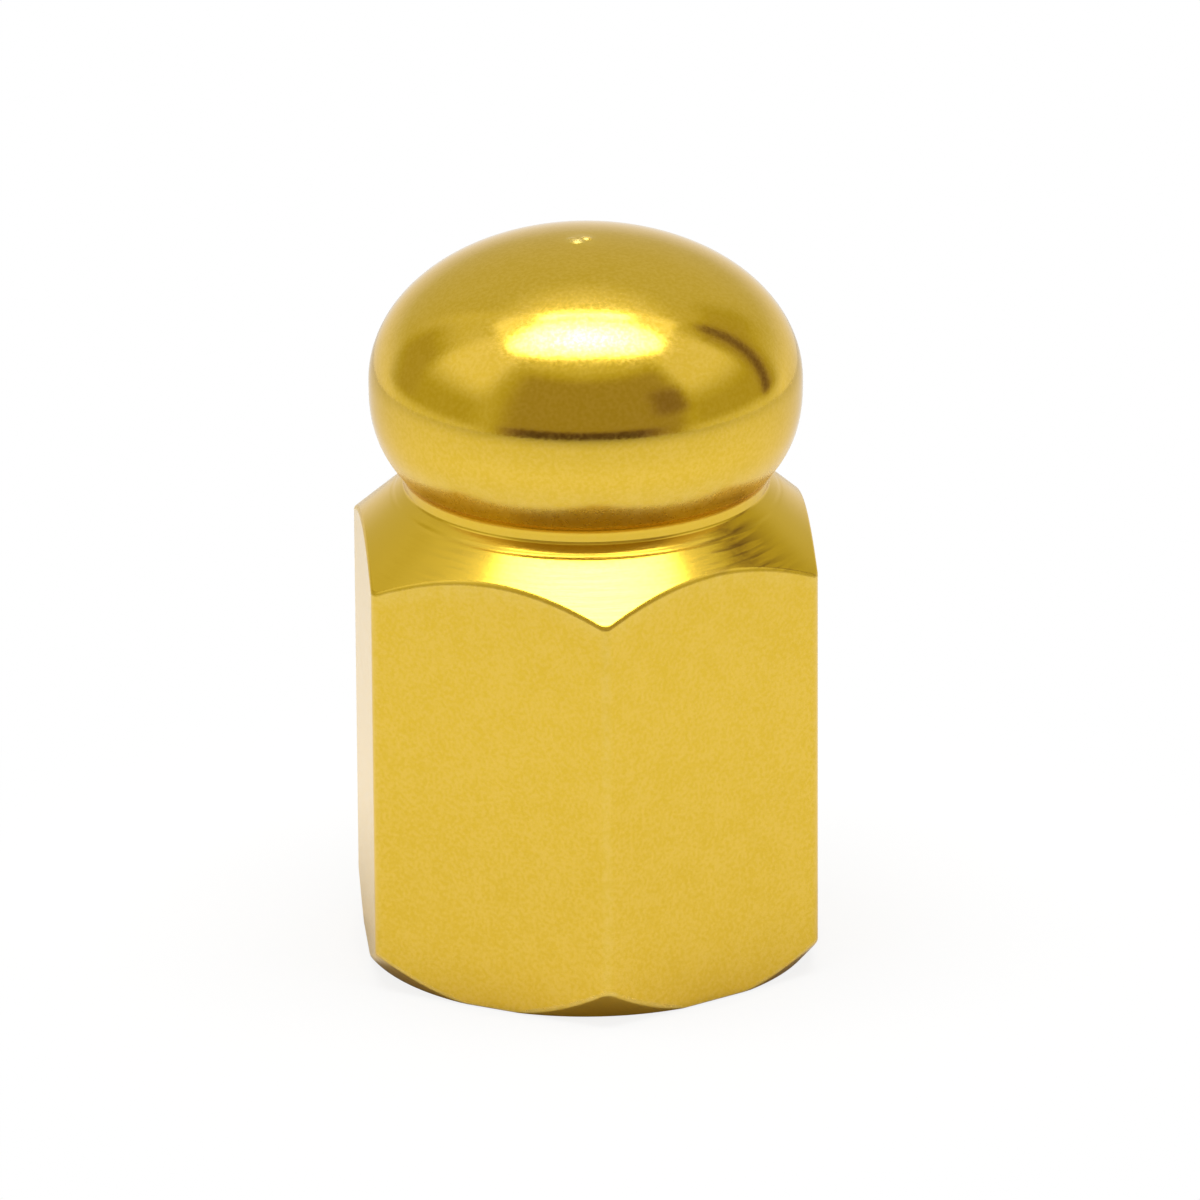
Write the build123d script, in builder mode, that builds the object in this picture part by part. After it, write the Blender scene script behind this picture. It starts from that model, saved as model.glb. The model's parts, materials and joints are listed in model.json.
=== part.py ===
from build123d import *
from math import acos, degrees, radians, sqrt, tan
import os

# Tyre valve cap turned from hexagon bar: domed head, neck, conical shoulder and a blind threaded bore.
# The origin is the centre of the open end, which is the face the cap stands on.

# Threaded bore for the valve stem
stem_thread_diameter = 7.75
stem_clearance = 0.05
thread_length = 7.6
mouth_chamfer = 0.38

# Relief groove behind the thread, with the seat at its far side and a drill point in the middle
relief_depth = 0.2
relief_width = 1.4
pocket_diameter = 3.4
pocket_depth = 0.6
drill_angle = 118

# Rubber washer in the relief groove
washer_clearance = 0.05
washer_thickness = 1.2
washer_hole_diameter = 3.6

# Hexagon bar
flat_wall = 1.075
corner_radius = 0.3
corner_height = 9.51

# Turned ends of the hexagon: a chamfer at the open end and a cone towards the neck
base_chamfer_width = 0.7
base_chamfer_angle = 50
shoulder_angle = 41

# Domed head on its neck
head_diameter = 9.72
crown_height = 3.34
under_radius = 3.63
neck_inset = 0.685
neck_length = 0.33
neck_fillet = 0.55

# Parting pip at the top of the head
pip_diameter = 0.5
pip_height = 0.05
pip_edge = 0.04

# Sizes that follow from the ones above
bore_radius = stem_thread_diameter / 2 + stem_clearance
across_flats = 2 * (bore_radius + flat_wall)
corner_circle = across_flats / sqrt(3)
base_radius = corner_circle - base_chamfer_width
base_chamfer_height = base_chamfer_width * tan(radians(base_chamfer_angle))

head_radius = head_diameter / 2
neck_radius = head_radius - neck_inset
neck_foot = corner_height + (corner_circle - neck_radius) * tan(radians(shoulder_angle))
neck_top = neck_foot + neck_length
head_centre = neck_top + sqrt(under_radius**2 - (under_radius - neck_inset) ** 2)
crown_top = head_centre + crown_height

mouth_radius = bore_radius + mouth_chamfer
relief_radius = bore_radius + relief_depth
relief_start = mouth_chamfer + thread_length
seat_height = relief_start + relief_width
pocket_radius = pocket_diameter / 2
pocket_top = seat_height + pocket_depth
drill_tip = pocket_top + pocket_radius / tan(radians(drill_angle / 2))

# The fillet at the foot of the neck takes this much of the neck and of the cone, never more than the neck has
half_turn = radians(90 - shoulder_angle) / 2
fillet_reach = min(neck_fillet * tan(half_turn), 0.95 * neck_length)
cone_direction = Vector(-1, 0).rotate(Axis.Z, -shoulder_angle)
under_sweep = degrees(acos((under_radius - neck_inset) / under_radius))

with BuildPart() as cap_body:
    # Outside of the turned blank, from the open end up to the crown
    with BuildSketch(Plane.XZ):
        with BuildLine():
            fillet_start = Vector(neck_radius, neck_foot) - cone_direction * fillet_reach
            outside = Polyline(
                (0, crown_top),
                (0, 0),
                (base_radius, 0),
                (corner_circle, base_chamfer_height),
                (corner_circle, corner_height),
                fillet_start,
            )
            neck_curve = TangentArc(
                fillet_start,
                (neck_radius, neck_foot + fillet_reach),
                tangent=cone_direction,
            )
            neck_wall = Line(neck_curve @ 1, (neck_radius, neck_top))
            underside = CenterArc(
                (head_radius - under_radius, head_centre),
                under_radius,
                -under_sweep,
                under_sweep,
            )
            crown = EllipticalCenterArc(
                (0, head_centre),
                head_radius,
                crown_height,
                start_angle=0,
                arc_size=90,
            )
        make_face()
    revolve(axis=Axis.Z)

    # The bar's six flats, left standing between the turned ends
    with BuildSketch() as bar_section:
        RegularPolygon(across_flats / 2, 6, major_radius=False, rotation=30)
        fillet(bar_section.vertices(), corner_radius)
    extrude(amount=crown_top, mode=Mode.INTERSECT)

    # Pip that the parting tool leaves at the crown
    with BuildSketch(Plane.XY.offset(head_centre)):
        Circle(pip_diameter / 2)
    extrude(amount=crown_height + pip_height)
    fillet(cap_body.faces().sort_by(Axis.Z)[-1].edges(), pip_edge)

    # Mouth, thread bore, relief groove and drill point
    with BuildSketch(Plane.XZ):
        with BuildLine():
            Polyline(
                (0, 0),
                (mouth_radius, 0),
                (bore_radius, mouth_chamfer),
                (bore_radius, relief_start),
                (relief_radius, relief_start),
                (relief_radius, seat_height),
                (pocket_radius, seat_height),
                (pocket_radius, pocket_top),
                (0, drill_tip),
                close=True,
            )
        make_face()
    revolve(axis=Axis.Z, mode=Mode.SUBTRACT)

with BuildPart() as sealing_washer:
    with BuildSketch(Plane.XY.offset(seat_height - washer_thickness)):
        Circle(relief_radius - washer_clearance)
        Circle(washer_hole_diameter / 2, mode=Mode.SUBTRACT)
    extrude(amount=washer_thickness)

cap_body.part.label = "cap_body"
sealing_washer.part.label = "sealing_washer"

os.makedirs("parts", exist_ok=True)
export_step(cap_body.part, "parts/cap_body.step")
export_step(sealing_washer.part, "parts/sealing_washer.step")

print("across flats", round(across_flats, 3), "height", round(crown_top + pip_height, 3))
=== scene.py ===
import bmesh
import bpy
import json
from math import acos, atan2, cos, exp, hypot, pi, radians, sin, sqrt, tan
from mathutils import Matrix, Vector


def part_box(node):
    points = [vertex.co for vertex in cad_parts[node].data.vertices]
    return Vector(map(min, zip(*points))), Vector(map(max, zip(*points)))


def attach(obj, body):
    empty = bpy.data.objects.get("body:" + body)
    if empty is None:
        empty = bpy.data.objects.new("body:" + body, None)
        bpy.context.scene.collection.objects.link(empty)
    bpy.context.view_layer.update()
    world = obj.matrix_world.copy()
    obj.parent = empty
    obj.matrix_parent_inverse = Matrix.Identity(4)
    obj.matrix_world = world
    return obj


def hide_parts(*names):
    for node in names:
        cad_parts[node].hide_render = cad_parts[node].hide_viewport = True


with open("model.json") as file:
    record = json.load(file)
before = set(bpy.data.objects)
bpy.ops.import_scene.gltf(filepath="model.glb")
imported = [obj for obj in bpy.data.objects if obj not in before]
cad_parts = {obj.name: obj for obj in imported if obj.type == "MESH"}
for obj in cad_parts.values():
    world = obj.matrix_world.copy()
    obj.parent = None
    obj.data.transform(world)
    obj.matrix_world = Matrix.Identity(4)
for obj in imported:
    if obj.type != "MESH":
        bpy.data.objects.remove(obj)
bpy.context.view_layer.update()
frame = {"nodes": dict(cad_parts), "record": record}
print("frame loaded with", sorted(frame["nodes"]))

mm = 0.001
bodyLow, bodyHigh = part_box("cap_body")
washerLow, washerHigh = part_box("sealing_washer")
mounts = {mount["name"]: mount for mount in frame["record"]["mounts"]}
threadMount = mounts["valve_thread"]

scene = bpy.context.scene
scene.view_settings.view_transform = "Standard"


# node helpers

def addNode(tree, kind, **settings):
    node = tree.nodes.new(kind)
    for name, value in settings.items():
        setattr(node, name, value)
    return node


def feed(tree, source, target):
    if isinstance(source, bpy.types.NodeSocket):
        tree.links.new(source, target)
    else:
        target.default_value = source


def calc(tree, operation, first, second=0.0):
    node = addNode(tree, "ShaderNodeMath", operation=operation)
    feed(tree, first, node.inputs[0])
    feed(tree, second, node.inputs[1])
    return node.outputs[0]


def ease(tree, value, start, end, low=0.0, high=1.0):
    node = addNode(tree, "ShaderNodeMapRange", interpolation_type="SMOOTHSTEP")
    for socket, source in zip(node.inputs, (value, start, end, low, high)):
        feed(tree, source, socket)
    return node.outputs[0]


def band(tree, value, start, end, softStart, softEnd=None):
    softEnd = softStart if softEnd is None else softEnd
    rising = ease(tree, value, start - softStart, start + softStart)
    falling = ease(tree, value, end - softEnd, end + softEnd, 1.0, 0.0)
    return calc(tree, "MULTIPLY", rising, falling)


def blendValue(tree, factor, below, above):
    node = addNode(tree, "ShaderNodeMix", data_type="FLOAT")
    for socket, source in zip((node.inputs[0], node.inputs[2], node.inputs[3]), (factor, below, above)):
        feed(tree, source, socket)
    return node.outputs[0]


def blendColour(tree, factor, below, above):
    node = addNode(tree, "ShaderNodeMix", data_type="RGBA")
    for socket, source in zip((node.inputs[0], node.inputs[6], node.inputs[7]), (factor, below, above)):
        feed(tree, source, socket)
    return node.outputs[2]


def newMaterial(name):
    material = bpy.data.materials.new(name)
    material.use_nodes = True
    material.node_tree.nodes.clear()
    output = material.node_tree.nodes.new("ShaderNodeOutputMaterial")
    return material, material.node_tree, output.inputs["Surface"]


def newGroup(name, inputs, outputs):
    group = bpy.data.node_groups.new(name, "ShaderNodeTree")
    for socketName, value in inputs.items():
        socket = group.interface.new_socket(socketName, in_out="INPUT", socket_type="NodeSocketFloat")
        socket.default_value = value
    for socketName in outputs:
        group.interface.new_socket(socketName, in_out="OUTPUT", socket_type="NodeSocketFloat")
    return group, group.nodes.new("NodeGroupInput").outputs, group.nodes.new("NodeGroupOutput").inputs


def placeGroup(tree, group, **values):
    node = addNode(tree, "ShaderNodeGroup", node_tree=group)
    for name, value in values.items():
        node.inputs[name.capitalize()].default_value = value
    return node.outputs


# shared shader groups, with their sizes in millimetres

grainDetail = 3.0
wearSheenBreak = {"from": 0.3, "to": 0.65, "least": 0.35}  # noise values, and the share of the wear and painted highlight left below them


def makeGrainGroup():
    # fine pitting or moulding grain, and broader patches, read in object space
    group, given, result = newGroup("surfaceGrain", {"Grain": 0.1, "Patch": 1.0}, ("Grain", "Patches"))
    place = group.nodes.new("ShaderNodeTexCoord").outputs["Object"]
    for sizeName, outName in (("Grain", "Grain"), ("Patch", "Patches")):
        noise = addNode(group, "ShaderNodeTexNoise", noise_dimensions="3D")
        feed(group, place, noise.inputs["Vector"])
        feed(group, calc(group, "DIVIDE", 1 / mm, given[sizeName]), noise.inputs["Scale"])
        feed(group, grainDetail, noise.inputs["Detail"])
        feed(group, noise.outputs["Fac"], result[outName])
    return group


def makeWearAndSheenGroup():
    # rubbed edges and the head's underside made paler: real wear at the pip, partly painted highlight on
    # the edge roundings, painted light under the head; the mesh says how exposed a point is, and noise
    # breaks the line up
    group, given, result = newGroup("edgeWear", {"Grain": 0.3}, ("Worn",))
    noise = addNode(group, "ShaderNodeTexNoise", noise_dimensions="3D")
    feed(group, group.nodes.new("ShaderNodeTexCoord").outputs["Object"], noise.inputs["Vector"])
    feed(group, calc(group, "DIVIDE", 1 / mm, given["Grain"]), noise.inputs["Scale"])
    exposed = addNode(group, "ShaderNodeAttribute", attribute_name="edgeWear").outputs["Fac"]
    patchy = ease(group, noise.outputs["Fac"], wearSheenBreak["from"], wearSheenBreak["to"], wearSheenBreak["least"], 1.0)
    feed(group, calc(group, "MULTIPLY", exposed, patchy), result["Worn"])
    return group


grainGroup = makeGrainGroup()
wearAndSheenGroup = makeWearAndSheenGroup()


# gold anodised aluminium, satin on the bar's flats and brighter where a tool has turned it

satinFlats = {
    "colour": (0.745, 0.502, 0.074, 1),
    "deepColour": (0.69, 0.457, 0.041, 1),
    "wornColour": (0.82, 0.66, 0.24, 1),
    "edgeTint": (1.0, 0.98, 0.96, 1),
    "roughness": (0.17, 0.24),
    "grain": 0.09,
    "patch": 0.6,
    "grainDepth": 0.0016,
    "markDepth": 0.0,
}
turnedFaces = {
    "colour": (0.745, 0.502, 0.074, 1),
    "deepColour": (0.69, 0.457, 0.041, 1),
    "wornColour": (0.82, 0.66, 0.24, 1),
    "edgeTint": (0.94, 0.88, 0.80, 1),
    "roughness": (0.09, 0.13),
    "grain": 0.09,
    "patch": 0.6,
    "grainDepth": 0.0007,
    "markDepth": 0.0025,
    "markPitch": 0.14,
    "markLength": 3.0,
    "markColour": (0.735, 0.49, 0.05, 1),
    # dark streaks on the cone: painted reflection of the tent's dark seam in the tool marks
    "scuffColour": (0.42, 0.25, 0.04, 1),
}
goldTexture = {
    "patchShare": 0.25,  # how much of the speckle is made by the broad patches
    "speckle": (0.35, 0.65),  # a pair holds the values between which a look changes
    "roughened": (0.3, 0.7),
    "wearGrain": 0.3,
    "markDetail": 2.0,
    "scuffStrength": (1.0, 3.0),
    "scuffNoise": (0.45, 0.62),
}


def makeGold(name, look):
    material, tree, surface = newMaterial(name)
    gold = tree.nodes.new("ShaderNodeBsdfPrincipled")
    gold.inputs["Metallic"].default_value = 1.0
    gold.inputs["Specular Tint"].default_value = look["edgeTint"]
    texture = placeGroup(tree, grainGroup, grain=look["grain"], patch=look["patch"])
    wearSheenMask = placeGroup(tree, wearAndSheenGroup, grain=goldTexture["wearGrain"])["Worn"]
    speckle = blendValue(tree, goldTexture["patchShare"], texture["Grain"], texture["Patches"])
    speckle = ease(tree, speckle, *goldTexture["speckle"])
    colour = blendColour(tree, speckle, look["deepColour"], look["colour"])
    softness = addNode(tree, "ShaderNodeAttribute", attribute_name="softness").outputs["Fac"]
    roughness = ease(tree, texture["Grain"], *goldTexture["roughened"], *look["roughness"])
    roughness = calc(tree, "ADD", roughness, softness)
    height = calc(tree, "MULTIPLY", texture["Grain"], look["grainDepth"] * mm)
    if look["markDepth"]:
        path = addNode(tree, "ShaderNodeAttribute", attribute_name="turnPath").outputs["Fac"]
        strength = addNode(tree, "ShaderNodeAttribute", attribute_name="toolMarks").outputs["Fac"]
        flat = addNode(tree, "ShaderNodeVectorMath", operation="MULTIPLY")
        feed(tree, tree.nodes.new("ShaderNodeTexCoord").outputs["Object"], flat.inputs[0])
        feed(tree, (1, 1, 0), flat.inputs[1])
        around = addNode(tree, "ShaderNodeVectorMath", operation="NORMALIZE")
        feed(tree, flat.outputs[0], around.inputs[0])
        marks = addNode(tree, "ShaderNodeTexNoise", noise_dimensions="4D")
        feed(tree, around.outputs[0], marks.inputs["Vector"])
        feed(tree, calc(tree, "DIVIDE", path, look["markPitch"] * look["markLength"]), marks.inputs["W"])
        feed(tree, look["markLength"], marks.inputs["Scale"])
        feed(tree, goldTexture["markDetail"], marks.inputs["Detail"])
        markHeight = calc(tree, "MULTIPLY", marks.outputs["Fac"], look["markDepth"] * mm)
        height = calc(tree, "ADD", height, calc(tree, "MULTIPLY", markHeight, strength))
        colour = blendColour(tree, calc(tree, "MINIMUM", strength, 1.0), colour, look["markColour"])
        # painted shade: dark streaks where the cone's marks are strongest
        scuffedAndShaded = calc(tree, "MULTIPLY", ease(tree, strength, *goldTexture["scuffStrength"]),
                       ease(tree, marks.outputs["Fac"], *goldTexture["scuffNoise"]))
        colour = blendColour(tree, scuffedAndShaded, colour, look["scuffColour"])
    # the paler colour from wear and painted highlight
    feed(tree, blendColour(tree, wearSheenMask, colour, look["wornColour"]), gold.inputs["Base Color"])
    feed(tree, roughness, gold.inputs["Roughness"])
    bump = tree.nodes.new("ShaderNodeBump")
    feed(tree, 1.0, bump.inputs["Distance"])
    feed(tree, height, bump.inputs["Height"])
    feed(tree, bump.outputs["Normal"], gold.inputs["Normal"])
    feed(tree, gold.outputs["BSDF"], surface)
    return material


washerRubber = {
    "colour": (0.022, 0.022, 0.023, 1),
    "dustColour": (0.045, 0.044, 0.042, 1),
    "dusty": (0.45, 0.75),
    "roughened": (0.3, 0.7),
    "roughness": (0.5, 0.72),
    "grain": 0.05,
    "patch": 0.7,
    "grainDepth": 0.006,
}


def makeRubber(name, look):
    material, tree, surface = newMaterial(name)
    rubber = tree.nodes.new("ShaderNodeBsdfPrincipled")
    texture = placeGroup(tree, grainGroup, grain=look["grain"], patch=look["patch"])
    dust = ease(tree, texture["Patches"], *look["dusty"])
    feed(tree, blendColour(tree, dust, look["colour"], look["dustColour"]), rubber.inputs["Base Color"])
    roughness = ease(tree, texture["Grain"], *look["roughened"], *look["roughness"])
    feed(tree, roughness, rubber.inputs["Roughness"])
    bump = tree.nodes.new("ShaderNodeBump")
    feed(tree, 1.0, bump.inputs["Distance"])
    feed(tree, calc(tree, "MULTIPLY", texture["Grain"], look["grainDepth"] * mm), bump.inputs["Height"])
    feed(tree, bump.outputs["Normal"], rubber.inputs["Normal"])
    feed(tree, rubber.outputs["BSDF"], surface)
    return material


goldFlat = makeGold("gold_satin_flat", satinFlats)
goldTurned = makeGold("gold_turned", turnedFaces)
rubberBlack = makeRubber("rubber_black", washerRubber)
print("finishes made")


# section helpers: a station is radius from the axis, height and the normal's two parts, in millimetres

def arcStations(centreR, centreZ, radius, start, end, steps):
    stations = []
    for step in range(steps + 1):
        angle = start + (end - start) * step / steps
        nr, nz = cos(angle), sin(angle)
        stations.append((centreR + radius * nr, centreZ + radius * nz, nr, nz))
    return stations


def roundedPath(corners):
    # a corner is radius from the axis, height, rounding and steps, with the solid on the left of the path
    stations = []
    last = len(corners) - 1
    headings = []
    for here, there in zip(corners, corners[1:]):
        length = hypot(there[0] - here[0], there[1] - here[1])
        headings.append(((there[0] - here[0]) / length, (there[1] - here[1]) / length))
    for index, (r, z, rounding, steps) in enumerate(corners):
        if index in (0, last):
            dr, dz = headings[min(index, last - 1)]
            stations.append((r, z, dz, -dr))
            continue
        (r1, z1), (r2, z2) = headings[index - 1], headings[index]
        turn = atan2(r1 * z2 - z1 * r2, r1 * r2 + z1 * z2)
        reach = rounding * tan(abs(turn) / 2)
        hand = 1 if turn > 0 else -1
        centreR = r - r1 * reach - hand * z1 * rounding
        centreZ = z - z1 * reach + hand * r1 * rounding
        for step in range(steps + 1):
            c, s = cos(turn * step / steps), sin(turn * step / steps)
            nr, nz = z1 * c + r1 * s, z1 * s - r1 * c
            stations.append((centreR + hand * nr * rounding, centreZ + hand * nz * rounding, nr, nz))
    return stations


# cap body: hexagon bar with turned ends, drawn as one section at every angle round the axis

capBody = {
    "acrossFlats": (bodyHigh.x - bodyLow.x) / mm,
    "cornerRadius": 0.3,
    "cornerHeight": 9.489,
    "chamferWidth": 0.676,
    "chamferAngle": radians(49),
    "shoulderAngle": radians(41),
    "headRadius": 4.86,
    "crownHeight": 3.34,
    "crownPower": 2.04,
    "underDepth": 2.122,
    "underPower": 2.65,
    "underZone": 0.75,  # the underside's lowest quarter keeps stronger tool marks
    "overhang": (0.2, 0.5),  # downward part of the normal where the underside's paler colour, painted light, starts and is full
    "neckInset": 0.76,
    "neckLength": 0.285,
    "neckFillet": 0.1,
    "boreRadius": threadMount["dims"]["r_mm"],
    "mouthChamfer": 0.38,
    "threadLength": threadMount["dims"]["length_mm"],
    "reliefDepth": 0.2,
    "seatHeight": washerHigh.z / mm,
    "pocketRadius": 1.7,
    "pocketDepth": 0.6,
    "drillAngle": radians(118),
    "footRunOut": (0.032, 0.086),  # how far the turned ends stand off the bar's middle in X and Y
    "headRunOut": (0.055, 0.0),
    "rimEdge": 0.07,
    "rimBreak": 0.06,  # half the angle left to the chamfer where it runs out on a flat
    "breakFade": 30.0,  # how fast that break closes as the chamfer grows
    "footEdge": 0.25,
    "footRoom": 0.8,  # share of the room on a narrow chamfer that its upper edge takes
    "footPath": 40.0,  # keeps the foot's tool marks apart from the head's
    "shoulderEdge": 0.17,
    "insideEdge": 0.06,
    "creaseEdge": 0.3,
    "toolLine": {"below": 0.34, "halfWidth": 0.1, "depth": 0.005, "steps": 12},
    "flatColumns": 26,
    "cornerColumns": 8,
    "edgeSteps": 6,
    "curveSteps": 16,
    "underSteps": 32,
    "crownSteps": 56,
    "pipSteps": 56,
    "pipZone": 0.85,
    "pipRise": 0.03,  # a point this far up is wholly on a mound
    "pipMounds": (  # x, y, height and radius of what the parting tool left at the crown
        (-0.08, -0.16, 0.011, 0.34),
        (-0.2, -0.25, 0.041, 0.115),
        (0.03, -0.08, 0.037, 0.1),
        (-0.3, -0.06, 0.008, 0.1),
    ),
    "scuffs": (  # angle, spread and extra strength of the tool marks on the cone, which also set where the cone is painted dark, a painted reflection of the tent's dark seam
        (radians(-49), radians(13), 1.8),
        (radians(-133), radians(12), 0.5),
    ),
}
toolMarks = {  # strength of the tool's marks and extra roughness in each zone of the section
    "inside": (1.0, 0.08),
    "foot": (0.8, 0.06),
    "wall": (0.0, 0.0),
    "cone": (1.0, 0.08),
    "neck": (0.6, 0.1),
    "under": (0.5, 0.1),
    "head": (0.1, 0.008),
}
edgeSoftness = {"shoulder": 0.12, "under": 0.18, "pip": 0.4}
# how pale each zone gets: real wear at the pip, painted highlight along the corner and foot edges, painted
# light under the head
edgeWear = {
    "corner": 0.12,
    "shoulder": 0.17,
    "shoulderReach": 0.4,
    "foot": 0.45,
    "under": 0.25,
    "pip": 0.9,
}


def hexColumns(size):
    # points round the bar's section, each with the wall's own facing angle and how exposed it is
    half = size["acrossFlats"] / 2
    radius = size["cornerRadius"]
    reach = (half - radius) * tan(pi / 6)
    cornerCentre = (half - radius) / cos(pi / 6)
    columns = []
    for side in range(6):
        facing = side * pi / 3
        for step in range(size["flatColumns"] + 1):
            along = reach * (2 * step / size["flatColumns"] - 1)
            x = half * cos(facing) - along * sin(facing)
            y = half * sin(facing) + along * cos(facing)
            columns.append((x, y, facing, 0.0))
        for step in range(1, size["cornerColumns"]):
            part = step / size["cornerColumns"]
            turned = facing + pi / 3 * part
            x = cornerCentre * cos(facing + pi / 6) + radius * cos(turned)
            y = cornerCentre * sin(facing + pi / 6) + radius * sin(turned)
            columns.append((x, y, turned, sin(pi * part)))
    return columns


def insideRows(size):
    # from the drill point down the bore to the start of the open end's rim
    bore = size["boreRadius"]
    relief = bore + size["reliefDepth"]
    reliefStart = size["mouthChamfer"] + size["threadLength"]
    seat = size["seatHeight"]
    pocket = size["pocketRadius"]
    pocketTop = seat + size["pocketDepth"]
    drillTip = pocketTop + pocket / tan(size["drillAngle"] / 2)
    mouth = bore + size["mouthChamfer"]
    edge, steps = size["insideEdge"], size["edgeSteps"]
    stations = roundedPath([
        (0, drillTip, 0, 0),
        (pocket, pocketTop, edge, steps),
        (pocket, seat, edge, steps),
        (relief, seat, edge, steps),
        (relief, reliefStart, edge, steps),
        (bore, reliefStart, edge, steps),
        (bore, size["mouthChamfer"], edge, steps),
        (mouth, 0, edge, steps),
        (mouth + 2 * edge, 0, 0, 0),
    ])
    rows, path = [], 0.0
    for here, before in zip(stations, stations[:1] + stations):
        path += hypot(here[0] - before[0], here[1] - before[1])
        rows.append({"station": here, "share": 0.0, "zone": "inside", "path": path, "wear": 0.0})
    return rows


def footRows(size, wallRadius):
    # rim, chamfer and the start of the wall, with an upper edge as soft as the chamfer leaves room for
    lean = size["chamferAngle"]
    baseRadius = size["acrossFlats"] / sqrt(3) - size["chamferWidth"]
    rim, steps = size["rimEdge"], size["edgeSteps"]
    rimTake, wallTake = tan(lean / 2), tan((pi / 2 - lean) / 2)
    chamfer = wallRadius - baseRadius
    edge, rimR, wallZ, gap = rim, wallRadius - rim, rim, size["rimBreak"]
    spare = chamfer - rim * (1 - rimTake)
    if spare > 0:
        room = (chamfer / cos(lean) - rim * rimTake) / wallTake
        edge = min(size["footEdge"], max(rim, size["footRoom"] * room))
        rimR = baseRadius - rim * rimTake
        wallZ = chamfer * tan(lean) + edge * wallTake
        gap *= exp(-size["breakFade"] * spare)
    lower = arcStations(rimR, rim, rim, -pi / 2, lean - pi / 2 - gap, steps)
    upper = arcStations(wallRadius - edge, wallZ, edge, lean - pi / 2 + gap, 0.0, steps)
    rows = []
    for index, station in enumerate(lower + upper):
        part = max(0, index - steps - 1) / steps
        path = size["footPath"] + station[1] / sin(lean)
        # the chamfer's upper rounding is made paler, a painted highlight along the edge
        wear = edgeWear["foot"] * sin(pi * part)
        rows.append({"station": station, "share": part, "zone": "foot", "path": path, "wear": wear})
    rows[-1]["zone"] = "wall"
    return rows


def headRows(size, wallRadius):
    # shoulder, cone, neck, the head's underside and its crown, up to the axis
    half = size["acrossFlats"] / 2
    lean = size["shoulderAngle"]
    cornerCircle = 2 * half / sqrt(3)
    neckRadius = size["headRadius"] - size["neckInset"]
    neckFoot = size["cornerHeight"] + (cornerCircle - neckRadius) * tan(lean)
    neckTop = neckFoot + size["neckLength"]
    underDepth, underPower = size["underDepth"], size["underPower"]
    underStart = atan2(size["neckInset"] * underPower, underDepth)
    headCentre = neckTop + underDepth
    edge, steps = size["shoulderEdge"], size["edgeSteps"]
    reach = cornerCircle * sin(lean) + size["cornerHeight"] * cos(lean) - edge
    shoulderZ = (reach - (wallRadius - edge) * sin(lean)) / cos(lean)
    shoulder = arcStations(wallRadius - edge, shoulderZ, edge, 0.0, pi / 2 - lean, steps)
    ahead = 0.5  # any length will do, as the path's last corner only gives the heading
    neck = roundedPath([
        (shoulder[-1][0], shoulder[-1][1], 0, 0),
        (neckRadius, neckFoot, size["neckFillet"], size["curveSteps"]),
        (neckRadius, neckTop, size["creaseEdge"], steps),
        (neckRadius + ahead * sin(underStart), neckTop + ahead * cos(underStart), 0, 0),
    ])[1:-1]
    line, lineRows = size["toolLine"], []
    for step in range(line["steps"] + 1):
        turn = pi * (2 * step / line["steps"] - 1)
        below = line["below"] - line["halfWidth"] * turn / pi
        sunk = line["depth"] * (1 + cos(turn)) / 2
        tilt = atan2(line["depth"] * pi * sin(turn), 2 * line["halfWidth"])
        r = neckRadius + below * cos(lean) - sunk * sin(lean)
        z = neckFoot - below * sin(lean) - sunk * cos(lean)
        lineRows.append((r, z, sin(lean + tilt), cos(lean + tilt)))
    underside, zones = [], []
    creaseEnd = underDepth - size["creaseEdge"] * tan(underStart / 2) * cos(underStart)
    for step in range(1, size["underSteps"] + 1):
        share = creaseEnd / underDepth * (1 - step / size["underSteps"])
        slope = size["neckInset"] * underPower / underDepth * share ** (underPower - 1)
        length = hypot(1, slope)
        underside.append((size["headRadius"] - size["neckInset"] * share ** underPower,
                          headCentre - share * underDepth, 1 / length, -slope / length))
        zones.append("under" if share > size["underZone"] else "head")
    crown = []
    headRadius, crownHeight, power = size["headRadius"], size["crownHeight"], size["crownPower"]
    crownSteps, pipSteps = size["crownSteps"], size["pipSteps"]
    pipFoot = acos(size["pipZone"] / headRadius)
    rings = [headRadius * cos(pipFoot * step / crownSteps) for step in range(1, crownSteps + 1)]
    rings += [size["pipZone"] * (1 - step / pipSteps) for step in range(1, pipSteps + 1)]
    for ring in rings:
        height = crownHeight * (1 - (ring / headRadius) ** power) ** (1 / power)
        nr = (ring / headRadius) ** (power - 1) / headRadius
        nz = (height / crownHeight) ** (power - 1) / crownHeight
        length = hypot(nr, nz)
        crown.append((ring, headCentre + height, nr / length, nz / length))
    lower = ["wall", "wall"] + ["cone"] * (steps + len(lineRows)) + ["neck"] * len(neck)
    zones = lower + zones + ["head"] * len(crown)
    wearSheenTo = (wallRadius, shoulderZ - edgeWear["shoulderReach"], 1.0, 0.0)
    stations = [wearSheenTo] + shoulder + lineRows + neck + underside + crown
    rows, path = [], 0.0
    for station, zone, above in zip(stations[::-1], zones[::-1], stations[-1:] + stations[::-1]):
        path += hypot(station[0] - above[0], station[1] - above[1])
        rows.append({"station": station, "share": 0.0, "zone": zone, "path": path, "wear": 0.0})
    rows.reverse()
    rows[0]["share"] = 1.0
    # the shoulder's rounding and the wall just below it are made paler
    for step in range(steps + 1):
        rows[step + 1]["share"] = 1 - step / steps
        rows[step + 1]["wear"] = edgeWear["shoulder"] * (1 - step / steps)
    return rows


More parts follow.
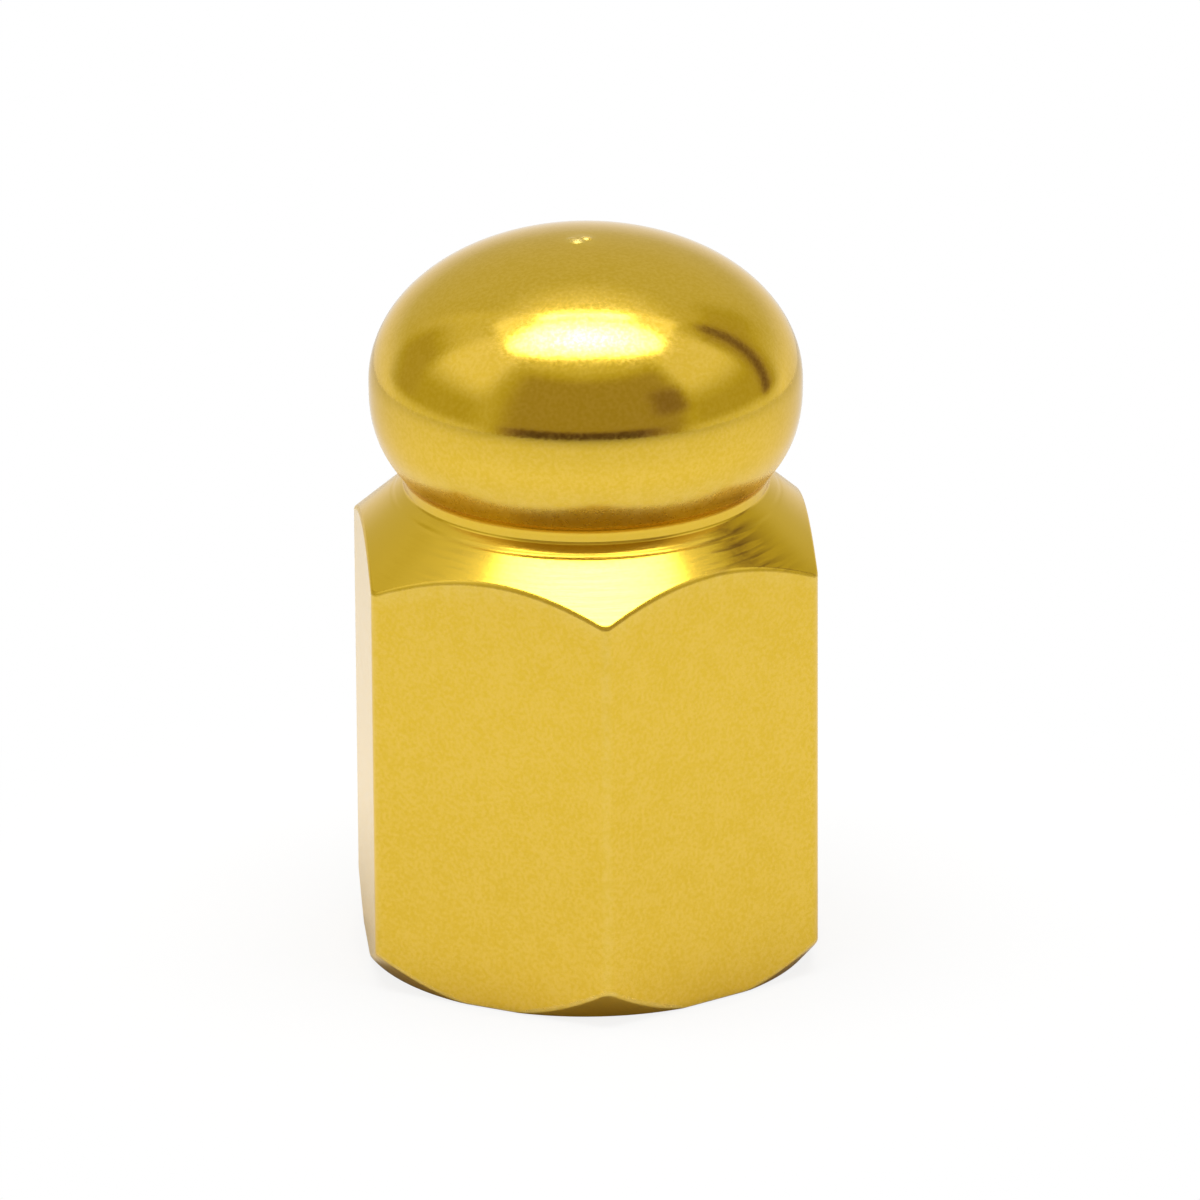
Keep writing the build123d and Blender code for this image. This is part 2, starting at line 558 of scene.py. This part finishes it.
def raiseMounds(size, point, normal):
    # adds the low mounds at the crown to a point and its normal, and says how far the point is on one
    slopeX = slopeY = rise = 0.0
    for x, y, height, radius in size["pipMounds"]:
        dx, dy = (point[0] - x) / radius, (point[1] - y) / radius
        away = dx * dx + dy * dy
        lift = height * exp(-away**1.5)
        rise += lift
        slopeX -= 3 * lift * sqrt(away) * dx / radius
        slopeY -= 3 * lift * sqrt(away) * dy / radius
    raised = Vector((normal[0] / normal[2] - slopeX, normal[1] / normal[2] - slopeY, 1.0)).normalized()
    return (point[0], point[1], point[2] + rise), tuple(raised), min(1, rise / size["pipRise"])


def capRows(size, column):
    # one column of finished points: place, normal, path, marks, wear and painted highlight, wall share and
    # softness
    x, y, facing, exposed = column
    footCentre, headCentre = size["footRunOut"], size["headRunOut"]
    foot = footRows(size, hypot(x - footCentre[0], y - footCentre[1]))
    head = headRows(size, hypot(x - headCentre[0], y - headCentre[1]))
    litUnderFrom, litUnderFull = size["overhang"]
    rows = []
    for centre, section in (((0.0, 0.0), insideRows(size)), (footCentre, foot), (headCentre, head)):
        angle = atan2(y - centre[1], x - centre[0])
        off = (facing - angle + pi) % (2 * pi) - pi
        scuffedAndShaded = 1.0
        for middle, spread, extra in size["scuffs"]:
            scuffedAndShaded += extra * exp(-((angle - middle) / spread) ** 2)
        for row in section:
            r, z, nr, nz = row["station"]
            aim = angle + row["share"] * off
            point = (r * cos(angle), r * sin(angle), z)
            normal = (nr * cos(aim), nr * sin(aim), nz)
            marks, soft = toolMarks[row["zone"]]
            # the hexagon's vertical corners are made paler, partly painted highlight along the rounding
            wear = max(row["wear"], edgeWear["corner"] * exposed * row["share"])
            if row["zone"] == "head" and nz > 0 and r < size["pipZone"]:
                point, normal, raised = raiseMounds(size, point, normal)
                marks = max(marks, 1 - r / size["pipZone"])
                soft = max(soft, edgeSoftness["pip"] * raised)
                wear = edgeWear["pip"] * raised
            # a downward-facing underside is made paler: painted light lifting its dark reflection
            if row["zone"] in ("under", "head") and -nz > litUnderFrom:
                overhang = min(1, (-nz - litUnderFrom) / (litUnderFull - litUnderFrom))
                soft = max(soft, edgeSoftness["under"] * overhang)
                wear = edgeWear["under"] * overhang
            if row["zone"] == "cone":
                marks *= scuffedAndShaded
                soft += edgeSoftness["shoulder"] * sin(pi * row["share"])
            place = ((point[0] + centre[0]) * mm, (point[1] + centre[1]) * mm, point[2] * mm)
            rows.append((place, normal, row["path"], marks, wear, row["share"], soft))
    return rows


def meshFromColumns(name, columns, materials):
    # columns all start at the tip inside and end at the crown, so their first and last points are shared
    count, rows = len(columns), len(columns[0])
    tip, top = columns[0][0], columns[0][-1]
    points = [column[row] for row in range(1, rows - 1) for column in columns] + [tip, top]
    tipIndex, topIndex = len(points) - 2, len(points) - 1
    faces, slots = [], []
    flatShare = 0.5  # a face whose points all have more wall share than this is one of the flats
    for i in range(count):
        j = (i + 1) % count
        faces.append((tipIndex, j, i))
        slots.append(0)
        for row in range(rows - 3):
            a, b = row * count, (row + 1) * count
            corners = (a + i, a + j, b + j, b + i)
            faces.append(corners)
            slots.append(int(min(points[corner][5] for corner in corners) > flatShare))
        a = (rows - 3) * count
        faces.append((a + i, a + j, topIndex))
        slots.append(0)
    mesh = bpy.data.meshes.new(name)
    mesh.from_pydata([point[0] for point in points], [], faces)
    for material in materials:
        mesh.materials.append(material)
    mesh.polygons.foreach_set("material_index", slots)
    mesh.polygons.foreach_set("use_smooth", [True] * len(faces))
    for index, attribute in ((2, "turnPath"), (3, "toolMarks"), (4, "edgeWear"), (6, "softness")):
        data = mesh.attributes.new(attribute, "FLOAT", "POINT").data
        data.foreach_set("value", [point[index] for point in points])
    mesh.update()
    mesh.normals_split_custom_set_from_vertices([point[1] for point in points])
    piece = bpy.data.objects.new(name, mesh)
    scene.collection.objects.link(piece)
    return piece


capColumns = [capRows(capBody, column) for column in hexColumns(capBody)]
cap = meshFromColumns("cap_shell", capColumns, [goldTurned, goldFlat])
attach(cap, "root")
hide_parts("cap_body")
print("cap body meshed with", len(cap.data.polygons), "faces")


# thread: a tapered ridge along a helix on the wall of the bore

threadRidge = {
    "Bore radius": capBody["boreRadius"],
    "Start height": 0.75,
    "Pitch": 25.4 / 32,
    "Turns": 8.5,
    "Ridge height": 0.43,
    "Root width": 0.69,
    "Crest width": 0.2,
    "Sunk": 0.02,  # how far the ridge's root goes into the wall
    "Fade": 0.05,  # share of the length over which each end runs out
}
threadSteps = 96  # points in each turn
threadTip = 0.02  # share of the section that is left at each end
threadSharp = radians(35)


def makeThreadTree(material):
    tree = bpy.data.node_groups.new("threadRidge", "GeometryNodeTree")
    for name in threadRidge:
        tree.interface.new_socket(name, in_out="INPUT", socket_type="NodeSocketFloat")
    tree.interface.new_socket("Mesh", in_out="OUTPUT", socket_type="NodeSocketGeometry")
    given = tree.nodes.new("NodeGroupInput").outputs
    sizes = {}
    for name in threadRidge:
        plain = name in ("Turns", "Fade")
        sizes[name] = given[name] if plain else calc(tree, "MULTIPLY", given[name], mm)
    helix = tree.nodes.new("GeometryNodeCurveSpiral")
    feed(tree, threadSteps, helix.inputs["Resolution"])
    feed(tree, sizes["Turns"], helix.inputs["Rotations"])
    feed(tree, sizes["Bore radius"], helix.inputs["Start Radius"])
    feed(tree, sizes["Bore radius"], helix.inputs["End Radius"])
    feed(tree, calc(tree, "MULTIPLY", sizes["Turns"], sizes["Pitch"]), helix.inputs["Height"])
    feed(tree, True, helix.inputs["Reverse"])
    upright = addNode(tree, "GeometryNodeSetCurveNormal", mode="Z_UP")
    feed(tree, helix.outputs[0], upright.inputs["Curve"])
    along = tree.nodes.new("GeometryNodeSplineParameter").outputs["Factor"]
    nearEnd = calc(tree, "MINIMUM", along, calc(tree, "SUBTRACT", 1.0, along))
    runOut = ease(tree, calc(tree, "DIVIDE", nearEnd, sizes["Fade"]), 0.0, 1.0, threadTip, 1.0)
    section = addNode(tree, "GeometryNodeCurvePrimitiveQuadrilateral", mode="TRAPEZOID")
    depth = calc(tree, "ADD", sizes["Ridge height"], sizes["Sunk"])
    feed(tree, depth, section.inputs["Height"])
    feed(tree, sizes["Root width"], section.inputs["Bottom Width"])
    feed(tree, sizes["Crest width"], section.inputs["Top Width"])
    feed(tree, 0.0, section.inputs["Offset"])
    inward = addNode(tree, "ShaderNodeCombineXYZ")
    shift = calc(tree, "SUBTRACT", sizes["Sunk"], calc(tree, "DIVIDE", depth, 2.0))
    feed(tree, shift, inward.inputs["X"])
    turned = tree.nodes.new("GeometryNodeTransform")
    feed(tree, section.outputs[0], turned.inputs["Geometry"])
    feed(tree, inward.outputs[0], turned.inputs["Translation"])
    turned.inputs["Rotation"].default_value = (0, 0, pi / 2)
    ridge = tree.nodes.new("GeometryNodeCurveToMesh")
    feed(tree, upright.outputs[0], ridge.inputs["Curve"])
    feed(tree, turned.outputs[0], ridge.inputs["Profile Curve"])
    feed(tree, runOut, ridge.inputs["Scale"])
    feed(tree, True, ridge.inputs["Fill Caps"])
    upward = addNode(tree, "ShaderNodeCombineXYZ")
    feed(tree, sizes["Start height"], upward.inputs["Z"])
    raised = tree.nodes.new("GeometryNodeTransform")
    feed(tree, ridge.outputs[0], raised.inputs["Geometry"])
    feed(tree, upward.outputs[0], raised.inputs["Translation"])
    solid = tree.nodes.new("GeometryNodeRealizeInstances")
    feed(tree, raised.outputs[0], solid.inputs["Geometry"])
    finish = tree.nodes.new("GeometryNodeSetMaterial")
    feed(tree, solid.outputs[0], finish.inputs["Geometry"])
    finish.inputs["Material"].default_value = material
    feed(tree, finish.outputs[0], tree.nodes.new("NodeGroupOutput").inputs[0])
    return tree


def meshFromTree(name, tree, sizes):
    # runs the tree on an empty mesh and keeps the result as a plain one
    carrier = bpy.data.objects.new(name + "_carrier", bpy.data.meshes.new(name + "_carrier"))
    scene.collection.objects.link(carrier)
    modifier = carrier.modifiers.new("nodes", "NODES")
    modifier.node_group = tree
    for item in tree.interface.items_tree:
        if item.in_out == "INPUT":
            modifier[item.identifier] = sizes[item.name]
    depsgraph = bpy.context.evaluated_depsgraph_get()
    mesh = bpy.data.meshes.new_from_object(carrier.evaluated_get(depsgraph))
    bpy.data.objects.remove(carrier)
    mesh.name = name
    tidy = bmesh.new()
    tidy.from_mesh(mesh)
    bmesh.ops.recalc_face_normals(tidy, faces=tidy.faces)
    tidy.to_mesh(mesh)
    tidy.free()
    mesh.shade_smooth()
    mesh.set_sharp_from_angle(angle=threadSharp)
    piece = bpy.data.objects.new(name, mesh)
    scene.collection.objects.link(piece)
    return piece


thread = meshFromTree("thread_ridge", makeThreadTree(goldTurned), threadRidge)
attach(thread, "root")
print("thread meshed with", len(thread.data.polygons), "faces")


# sealing washer: a flat rubber ring with softened edges

sealingWasher = {
    "outerRadius": (washerHigh.x - washerLow.x) / 2 / mm,
    "holeRadius": 1.8,
    "low": washerLow.z / mm,
    "high": washerHigh.z / mm,
    "edge": 0.12,
    "edgeSteps": 6,
    "columns": 144,
}


def makeWasher(size, material):
    outer, hole, edge, steps = size["outerRadius"], size["holeRadius"], size["edge"], size["edgeSteps"]
    low, high = size["low"] + edge, size["high"] - edge
    loop = arcStations(outer - edge, low, edge, -pi / 2, 0.0, steps)
    loop += arcStations(outer - edge, high, edge, 0.0, pi / 2, steps)
    loop += arcStations(hole + edge, high, edge, pi / 2, pi, steps)
    loop += arcStations(hole + edge, low, edge, pi, 1.5 * pi, steps)
    count, rows = size["columns"], len(loop)
    points, normals, faces = [], [], []
    for i in range(count):
        c, s = cos(2 * pi * i / count), sin(2 * pi * i / count)
        for row, (r, z, nr, nz) in enumerate(loop):
            points.append((r * c * mm, r * s * mm, z * mm))
            normals.append((nr * c, nr * s, nz))
            here, there = i * rows, (i + 1) % count * rows
            above = (row + 1) % rows
            faces.append((here + row, there + row, there + above, here + above))
    mesh = bpy.data.meshes.new("washer_ring")
    mesh.from_pydata(points, [], faces)
    mesh.materials.append(material)
    mesh.polygons.foreach_set("use_smooth", [True] * len(faces))
    mesh.update()
    mesh.normals_split_custom_set_from_vertices(normals)
    piece = bpy.data.objects.new("washer_ring", mesh)
    scene.collection.objects.link(piece)
    return piece


washer = makeWasher(sealingWasher, rubberBlack)
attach(washer, "root")
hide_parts("sealing_washer")
print("washer meshed with", len(washer.data.polygons), "faces")


# camera, fitted to the cap's outline in the photograph

cameraView = {
    "target": (0.346, 0.0, 8.08),
    "distance": 300.0,
    "elevation": radians(20.498),
    "azimuth": radians(-4.75),
    "roll": radians(-0.345),
    "focalPixels": 13335.0,
    "framePixels": 1200,
    "sensorWidth": 36.0,
    "clip": (10.0, 5000.0),
}


def makeCamera(view):
    data = bpy.data.cameras.new("photo_camera")
    data.sensor_width = view["sensorWidth"]
    data.lens = view["focalPixels"] / view["framePixels"] * data.sensor_width
    data.clip_start, data.clip_end = (reach * mm for reach in view["clip"])
    camera = bpy.data.objects.new("photo_camera", data)
    scene.collection.objects.link(camera)
    turn = Matrix.Rotation(view["azimuth"], 3, "Z")
    right = turn @ Vector((1, 0, 0))
    ahead = turn @ Vector((0, cos(view["elevation"]), -sin(view["elevation"])))
    up = right.cross(ahead)
    spin = Matrix.Rotation(-view["roll"], 3, ahead)
    right, up = spin @ right, spin @ up
    place = (turn @ Vector(view["target"]) - ahead * view["distance"]) * mm
    camera.matrix_world = Matrix((
        (right.x, up.x, -ahead.x, place.x),
        (right.y, up.y, -ahead.y, place.y),
        (right.z, up.z, -ahead.z, place.z),
        (0, 0, 0, 1),
    ))
    scene.camera = camera


makeCamera(cameraView)
print("camera placed")


# studio: a white sheet under an overhead softbox, inside a tent with an open front

floorSheet = {
    "middle": -29.0,
    "radius": 89.0,
    "drop": 0.01,
    "hole": 4.9,  # lets light into the bore in views from below, and the cap's rim covers it
    # painted contact shadow: the sheet is darker in a thin ring round the cap's foot
    "contactColour": (0.7, 0.7, 0.7, 1),
    "contactFrom": 5.12,
    "contactTo": 5.5,
    # painted shade: the sheet is darker near the cap's foot, except behind it
    "footColour": (0.83, 0.83, 0.83, 1),
    "footShade": (6.0, 26.0),  # distances from the axis between which the foot's painted shade fades out
    "footBehind": (-3.0, 5.0),  # and the same in Y, towards the back
    "nearColour": (0.9, 0.9, 0.9, 1),
    # painted shade: the sheet gets darker further out from the cap
    "farColour": (0.62, 0.62, 0.62, 1),
    "darkensFrom": 20.0,
    "darkensTo": 118.0,
    "sideways": (0.6, 1, 1),  # the sheet's painted shade darkens it more slowly to the sides
    "whiteNear": 0.85,
    "whiteFar": 1.0,
    "fadeFrom": 8.0,
    "fadeTo": 18.0,
    "steps": 96,
}


def makeFloor(sheet):
    material, tree, surface = newMaterial("pale_floor")
    diffuse = tree.nodes.new("ShaderNodeBsdfDiffuse")
    glow = tree.nodes.new("ShaderNodeEmission")
    path = tree.nodes.new("ShaderNodeLightPath")
    place = tree.nodes.new("ShaderNodeTexCoord").outputs["Object"]
    inMillimetres = addNode(tree, "ShaderNodeVectorMath", operation="SCALE")
    feed(tree, place, inMillimetres.inputs[0])
    feed(tree, 1 / mm, inMillimetres.inputs["Scale"])
    place = inMillimetres.outputs[0]
    reach = addNode(tree, "ShaderNodeVectorMath", operation="LENGTH")
    feed(tree, place, reach.inputs[0])
    away = reach.outputs["Value"]
    wide = addNode(tree, "ShaderNodeVectorMath", operation="MULTIPLY")
    feed(tree, place, wide.inputs[0])
    feed(tree, sheet["sideways"], wide.inputs[1])
    spread = addNode(tree, "ShaderNodeVectorMath", operation="LENGTH")
    feed(tree, wide.outputs[0], spread.inputs[0])
    outward = addNode(tree, "ShaderNodeMapRange")
    darkening = (spread.outputs["Value"], sheet["darkensFrom"], sheet["darkensTo"])
    for socket, source in zip(outward.inputs, darkening):
        feed(tree, source, socket)
    split = tree.nodes.new("ShaderNodeSeparateXYZ")
    feed(tree, place, split.inputs[0])
    beyond = calc(tree, "MAXIMUM", ease(tree, away, *sheet["footShade"]),
                  ease(tree, split.outputs["Y"], *sheet["footBehind"]))
    sheetColour = blendColour(tree, outward.outputs[0], sheet["nearColour"], sheet["farColour"])
    sheetColour = blendColour(tree, beyond, sheet["footColour"], sheetColour)
    # painted contact shadow round the foot
    clear = ease(tree, away, sheet["contactFrom"], sheet["contactTo"])
    sheetColour = blendColour(tree, clear, sheet["contactColour"], sheetColour)
    feed(tree, sheetColour, diffuse.inputs["Color"])
    white = ease(tree, away, sheet["fadeFrom"], sheet["fadeTo"], sheet["whiteNear"], sheet["whiteFar"])
    mix = tree.nodes.new("ShaderNodeMixShader")
    feed(tree, calc(tree, "MULTIPLY", white, path.outputs["Is Camera Ray"]), mix.inputs[0])
    feed(tree, diffuse.outputs[0], mix.inputs[1])
    feed(tree, glow.outputs[0], mix.inputs[2])
    under = tree.nodes.new("ShaderNodeMixShader")
    feed(tree, tree.nodes.new("ShaderNodeNewGeometry").outputs["Backfacing"], under.inputs[0])
    feed(tree, mix.outputs[0], under.inputs[1])
    feed(tree, tree.nodes.new("ShaderNodeBsdfTransparent").outputs[0], under.inputs[2])
    feed(tree, under.outputs[0], surface)
    steps = sheet["steps"]
    turn = Matrix.Rotation(cameraView["azimuth"], 3, "Z")
    points, faces = [], []
    for step in range(steps):
        c, s = cos(2 * pi * step / steps), sin(2 * pi * step / steps)
        for radius, middle in ((sheet["hole"], 0.0), (sheet["radius"], sheet["middle"])):
            points.append(turn @ Vector((radius * c, radius * s + middle, -sheet["drop"])) * mm)
        here, there = 2 * step, 2 * ((step + 1) % steps)
        faces.append((here, here + 1, there + 1, there))
    mesh = bpy.data.meshes.new("floor_sheet")
    mesh.from_pydata(points, [], faces)
    mesh.materials.append(material)
    floor = bpy.data.objects.new("floor_sheet", mesh)
    scene.collection.objects.link(floor)


softbox = {
    "height": 120.0,
    "middle": -10.3,
    "halfWidth": 55.0,
    "halfDepth": 30.5,
    "softEdge": 0.1,
    "lampRadiance": 7.2,
    "clothMiddle": -12.5,
    "clothHalfWidth": 60.0,
    "clothHalfDepth": 26.5,
    "clothRadiance": 3.4,
    "coreRadiance": 12.6,
    "coreMiddle": -13.0,
    "coreWidth": 42.0,
    "coreDepth": 20.0,
    "barRadiance": 8.0,
    "barFrom": 16.5,
    "barTo": 23.0,
    "barHalfWidth": 27.0,
    "barSoft": 2.0,
    "barEndSoft": 5.0,
    "frameRadiance": 1.4,
    "frameHalfWidth": 63.0,
    "frameFront": -44.3,
    "frameBack": 29.7,
    "frameSoft": 4.0,
    "frameTaper": 26.0,  # how much narrower each half of the frame is at its front
    "taperFrom": -22.0,
}


def makeSoftbox(box):
    turn = Matrix.Rotation(cameraView["azimuth"], 4, "Z")
    width, depth = 2 * box["halfWidth"] * mm, 2 * box["halfDepth"] * mm
    data = bpy.data.lights.new("softbox_lamp", "AREA")
    data.shape = "ELLIPSE"
    data.size, data.size_y = width, depth
    data.energy = box["lampRadiance"] * pi * (pi / 4 * width * depth)
    lamp = bpy.data.objects.new("softbox_lamp", data)
    scene.collection.objects.link(lamp)
    lamp.matrix_world = turn @ Matrix.Translation(Vector((0, box["middle"], box["height"])) * mm)
    lamp.visible_camera = False
    lamp.visible_glossy = False
    material, tree, surface = newMaterial("softbox_cloth")
    place = tree.nodes.new("ShaderNodeSeparateXYZ")
    feed(tree, tree.nodes.new("ShaderNodeTexCoord").outputs["Object"], place.inputs[0])
    across = calc(tree, "DIVIDE", place.outputs["X"], mm)
    along = calc(tree, "DIVIDE", place.outputs["Y"], mm)

    def squaredReach(middle, halfWidth, halfDepth):
        sideways = calc(tree, "DIVIDE", across, halfWidth)
        lengthways = calc(tree, "DIVIDE", calc(tree, "SUBTRACT", along, middle), halfDepth)
        return calc(tree, "ADD", calc(tree, "MULTIPLY", sideways, sideways),
                    calc(tree, "MULTIPLY", lengthways, lengthways))

    soft = box["softEdge"]
    clothReach = squaredReach(box["clothMiddle"], box["clothHalfWidth"], box["clothHalfDepth"])
    cloth = ease(tree, calc(tree, "SQRT", clothReach), 1 - soft, 1 + soft, 1.0, 0.0)
    coreReach = squaredReach(box["coreMiddle"], box["coreWidth"], box["coreDepth"])
    core = calc(tree, "EXPONENT", calc(tree, "MULTIPLY", coreReach, -1.0))
    core = calc(tree, "MULTIPLY", core, box["coreRadiance"])
    bright = calc(tree, "MULTIPLY", cloth, calc(tree, "ADD", core, box["clothRadiance"]))
    bar = calc(tree, "MULTIPLY", band(tree, along, box["barFrom"], box["barTo"], box["barSoft"]),
               band(tree, across, -box["barHalfWidth"], box["barHalfWidth"], box["barEndSoft"]))
    bright = calc(tree, "ADD", bright, calc(tree, "MULTIPLY", bar, box["barRadiance"]))
    glow = tree.nodes.new("ShaderNodeEmission")
    feed(tree, calc(tree, "ADD", bright, box["frameRadiance"]), glow.inputs["Strength"])
    side, front, back = box["frameHalfWidth"], box["frameFront"], box["frameBack"]
    blur = box["frameSoft"]
    narrowed = calc(tree, "ADD", calc(tree, "ABSOLUTE", across),
                    ease(tree, along, front, box["taperFrom"], box["frameTaper"], 0.0))
    framed = calc(tree, "MULTIPLY", ease(tree, narrowed, side - blur, side + blur, 1.0, 0.0),
                  band(tree, along, front, back, blur))
    mix = tree.nodes.new("ShaderNodeMixShader")
    feed(tree, framed, mix.inputs[0])
    feed(tree, tree.nodes.new("ShaderNodeBsdfTransparent").outputs[0], mix.inputs[1])
    feed(tree, glow.outputs[0], mix.inputs[2])
    feed(tree, mix.outputs[0], surface)
    side, front, back = side + blur, front - blur, back + blur
    corners = [(-side, back), (side, back), (side, front), (-side, front)]
    mesh = bpy.data.meshes.new("softbox_cloth")
    mesh.from_pydata([(x * mm, y * mm, 0) for x, y in corners], [], [(0, 1, 2, 3)])
    mesh.materials.append(material)
    card = bpy.data.objects.new("softbox_cloth", mesh)
    scene.collection.objects.link(card)
    card.matrix_world = turn @ Matrix.Translation((0, 0, box["height"] * mm))
    card.visible_camera = False
    card.visible_diffuse = False
    card.visible_shadow = False


# tent panels from back to front: sides and heights in degrees, and levels below and above those heights

tentBack = {
    "levels": (0.72, 1.05),
    "heights": (52, 70),
    "glow": 0.27,  # extra light low down behind the cap
    "glowSides": (116, 130),
    "glowHeights": (-6, 17),
    "pale": 0.12,  # and whiter cloth there
    "paleSides": (125, 150),
}
tentPanels = (
    {"sides": (-128, -59), "soft": (8, 8), "levels": (0.60, 1.08), "heights": (12, 36), "ends": 95},
    {"sides": (-128, -102), "soft": (5, 6), "levels": (0.55, 0.84), "heights": (26, 46), "ends": 60},
    {"sides": (59, 104), "soft": (6, 5), "levels": (0.58, 1.0), "heights": (12, 36), "ends": 95},
    {"sides": (119, 137), "soft": (5, 6), "levels": (0.72, 0.57), "heights": (14, 28), "ends": 46},
    {"sides": (103.5, 121), "soft": (5, 6), "levels": (0.5, 0.5), "heights": (0, 1), "ends": 48},
    {"sides": (107, 113.8), "soft": (2.4, 2.2), "levels": (0.19, 0.19), "heights": (0, 1), "ends": 49,
     "lean": 0.12},
    {"sides": (-47, 55), "soft": (12, 8), "levels": (0.455, 0.8), "heights": (46, 62), "ends": 66},
)
tentEndSoft = 5
# a dark gap at the right, the dark edge of the floor in front, and light cloth low on both sides
tentPatch = {"sides": (38, 57), "soft": 5, "heights": (12, 34), "heightSoft": 5, "level": 0.30}
tentEdge = {"sides": (-40, 36), "soft": 12, "heights": (-8, 1), "heightSoft": 1.5, "level": 0.11}
tentSides = {"sides": (55, 128), "soft": 10, "heights": (-9, 0), "level": 0.92}
tentAmbient = 0.5
tentTints = (  # the cloth's colour at each level of light
    (0.15, (1, 0.64, 0.80, 1)),
    (0.42, (1, 0.84, 0.52, 1)),
    (0.62, (1, 0.95, 0.33, 1)),
    (0.75, (1, 0.98, 0.68, 1)),
    (0.90, (1, 1, 0.83, 1)),
    (1.00, (1, 1, 1, 1)),
)


def makeTent():
    world = bpy.data.worlds.new("studio_tent")
    scene.world = world
    world.use_nodes = True
    tree = world.node_tree
    tree.nodes.clear()
    output = tree.nodes.new("ShaderNodeOutputWorld")
    turn = tree.nodes.new("ShaderNodeMapping")
    turn.inputs["Rotation"].default_value = (0, 0, -cameraView["azimuth"])
    feed(tree, tree.nodes.new("ShaderNodeTexCoord").outputs["Generated"], turn.inputs["Vector"])
    split = tree.nodes.new("ShaderNodeSeparateXYZ")
    feed(tree, turn.outputs[0], split.inputs[0])
    around = calc(tree, "ARCTAN2", split.outputs["X"], calc(tree, "MULTIPLY", split.outputs["Y"], -1.0))
    around = calc(tree, "MULTIPLY", around, 180 / pi)
    rise = calc(tree, "MULTIPLY", calc(tree, "ARCSINE", split.outputs["Z"]), 180 / pi)
    level = ease(tree, rise, *tentBack["heights"], *tentBack["levels"])
    for panel in tentPanels:
        upright = calc(tree, "SUBTRACT", around, calc(tree, "MULTIPLY", rise, panel.get("lean", 0.0)))
        shown = calc(tree, "MULTIPLY", band(tree, upright, *panel["sides"], *panel["soft"]),
                     ease(tree, rise, panel["ends"] - tentEndSoft, panel["ends"] + tentEndSoft, 1.0, 0.0))
        level = blendValue(tree, shown, level, ease(tree, rise, *panel["heights"], *panel["levels"]))
    for patch in (tentPatch, tentEdge):
        shown = calc(tree, "MULTIPLY", band(tree, around, *patch["sides"], patch["soft"]),
                     band(tree, rise, *patch["heights"], patch["heightSoft"]))
        level = blendValue(tree, shown, level, patch["level"])
    aside = calc(tree, "ABSOLUTE", around)
    shown = calc(tree, "MULTIPLY", band(tree, aside, *tentSides["sides"], tentSides["soft"]),
                 ease(tree, rise, *tentSides["heights"], 1.0, 0.0))
    level = blendValue(tree, shown, level, tentSides["level"])
    tint = tree.nodes.new("ShaderNodeValToRGB")
    stops = tint.color_ramp.elements
    stops.remove(stops[1])
    stops[0].position, stops[0].color = tentTints[0]
    for position, colour in tentTints[1:]:
        stops.new(position).color = colour
    lowBack = calc(tree, "MULTIPLY", ease(tree, aside, *tentBack["glowSides"]),
                   ease(tree, rise, *tentBack["glowHeights"], tentBack["glow"], 0.0))
    level = calc(tree, "ADD", level, lowBack)
    pale = ease(tree, aside, *tentBack["paleSides"], 0.0, tentBack["pale"])
    feed(tree, calc(tree, "ADD", level, calc(tree, "ADD", lowBack, pale)), tint.inputs["Fac"])
    studio = tree.nodes.new("ShaderNodeBackground")
    feed(tree, tint.outputs["Color"], studio.inputs["Color"])
    feed(tree, level, studio.inputs["Strength"])
    plain = tree.nodes.new("ShaderNodeBackground")
    path = tree.nodes.new("ShaderNodeLightPath")
    seen = calc(tree, "MAXIMUM", path.outputs["Is Camera Ray"], path.outputs["Is Transmission Ray"])
    feed(tree, blendValue(tree, seen, tentAmbient, 1.0), plain.inputs["Strength"])
    plain.inputs["Color"].default_value = (1, 1, 1, 1)
    mix = tree.nodes.new("ShaderNodeMixShader")
    feed(tree, path.outputs["Is Glossy Ray"], mix.inputs[0])
    feed(tree, plain.outputs[0], mix.inputs[1])
    feed(tree, studio.outputs[0], mix.inputs[2])
    feed(tree, mix.outputs[0], output.inputs["Surface"])


makeFloor(floorSheet)
makeSoftbox(softbox)
makeTent()
print("studio set")
